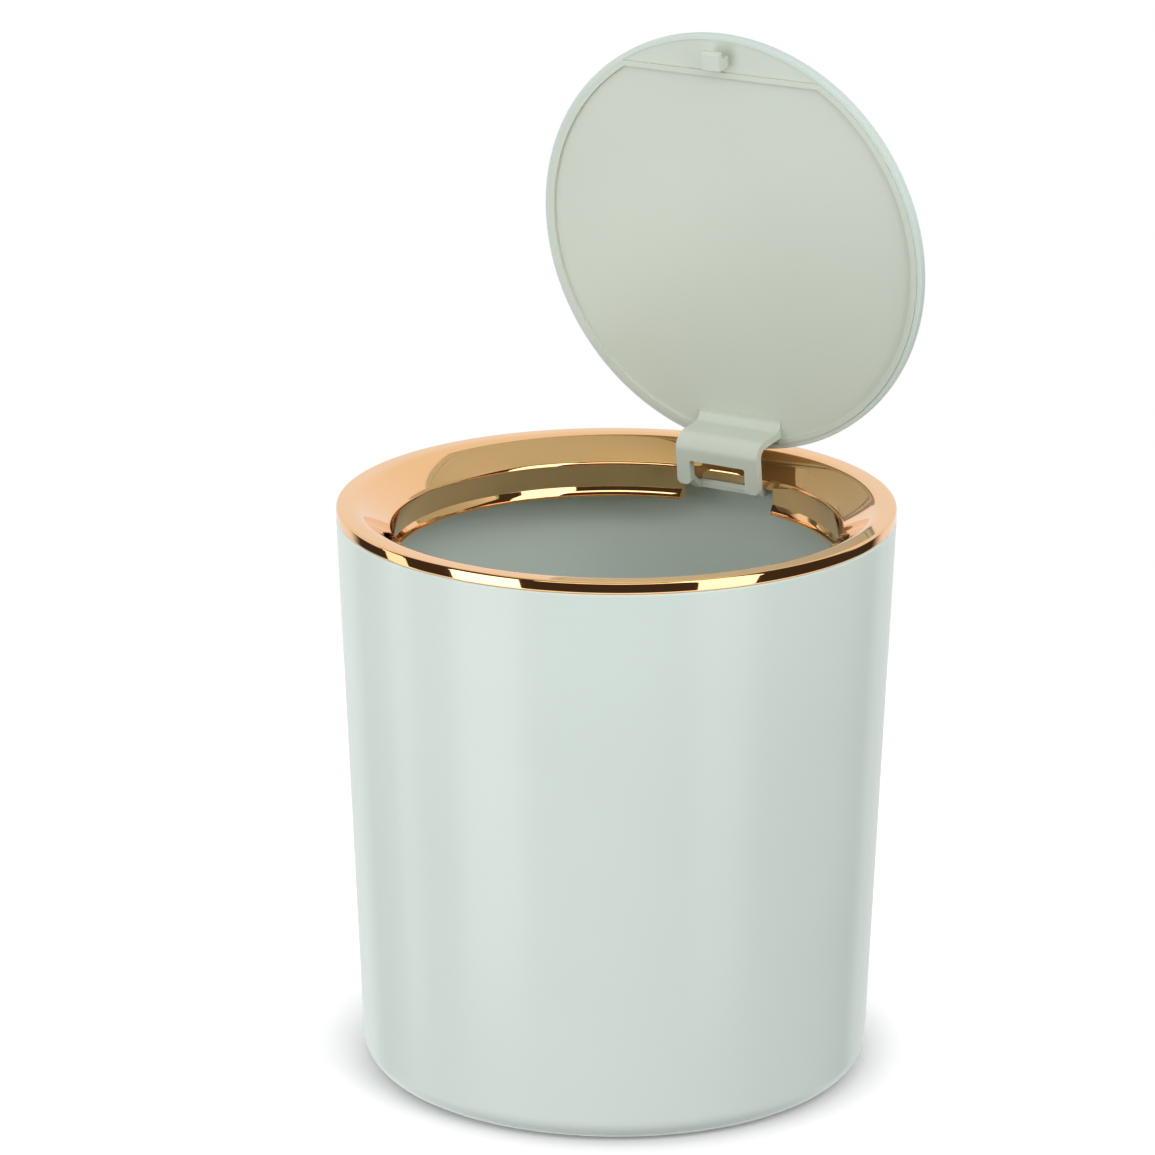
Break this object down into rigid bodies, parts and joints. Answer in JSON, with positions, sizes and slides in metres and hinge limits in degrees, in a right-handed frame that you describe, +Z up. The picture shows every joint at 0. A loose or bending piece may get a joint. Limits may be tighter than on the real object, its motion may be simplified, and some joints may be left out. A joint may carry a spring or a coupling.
{
  "type": "countertop trash can",
  "caption": "Small round tapered countertop bin with a plated coned rim and a sprung, press-to-open hinged lid with strike hook and push latch, stored open.",
  "frame": {"origin": "middle of the base, on the plane of the counter", "axes": "+Z up, the hinge is on the +Y side, the latch is on the -Y side"},
  "size_m": [0.13, 0.13, 0.2384],
  "materials": {
    "cup_plastic": "satin",
    "lid_plastic": "satin",
    "panel_plastic": "satin",
    "rose_gold_plating": "polished",
    "mechanism_plastic": "satin",
    "latch_plastic": "satin",
    "steel": "bright"
  },
  "bodies": {
    "bin": {"bin_body": "cup_plastic"},
    "rim": {"rim_ring": "rose_gold_plating", "hinge_holder": "mechanism_plastic", "hinge_holder_screws": "steel", "hinge_pin": "steel", "hinge_spring": "steel", "latch_housing": "latch_plastic", "latch_cover": "latch_plastic", "latch_cam_link": "steel", "latch_spring": "steel", "latch_screws": "steel"},
    "lid": {"lid_cover": "lid_plastic", "lid_inner_panel": "panel_plastic", "lid_hinge_bracket": "panel_plastic", "hinge_spring_lid_end": "steel"},
    "slider": {"latch_slider": "latch_plastic", "latch_claw_pin": "steel"},
    "claw": {"latch_claw": "latch_plastic"}
  },
  "joints": [
    {"name": "rim_lift", "type": "slide", "parent": "bin", "child": "rim", "axis": [0, 0, 1], "range_m": [0, 0.06]},
    {"name": "lid_hinge", "type": "hinge", "parent": "rim", "child": "lid", "pos_m": [0, 0.0585, 0.129], "axis": [1, 0, 0], "range_deg": [0, 84], "stiffness_Nm_per_rad": 0.012, "springref_deg": -57.3},
    {"name": "latch_slide", "type": "slide", "parent": "rim", "child": "slider", "axis": [0, 0, -1], "range_m": [0, 0.004], "deforming": ["latch_spring"]},
    {"name": "latch_claw_hinge", "type": "hinge", "parent": "slider", "child": "claw", "pos_m": [0, -0.0534, 0.122], "axis": [-1, 0, 0], "range_deg": [0, 10], "stiffness_Nm_per_rad": 0.0002, "springref_deg": -5.73}
  ],
  "couplings": [
    {"joint": "latch_slide", "follows": "lid_hinge", "m_per_rad": 0.0027283}
  ]
}
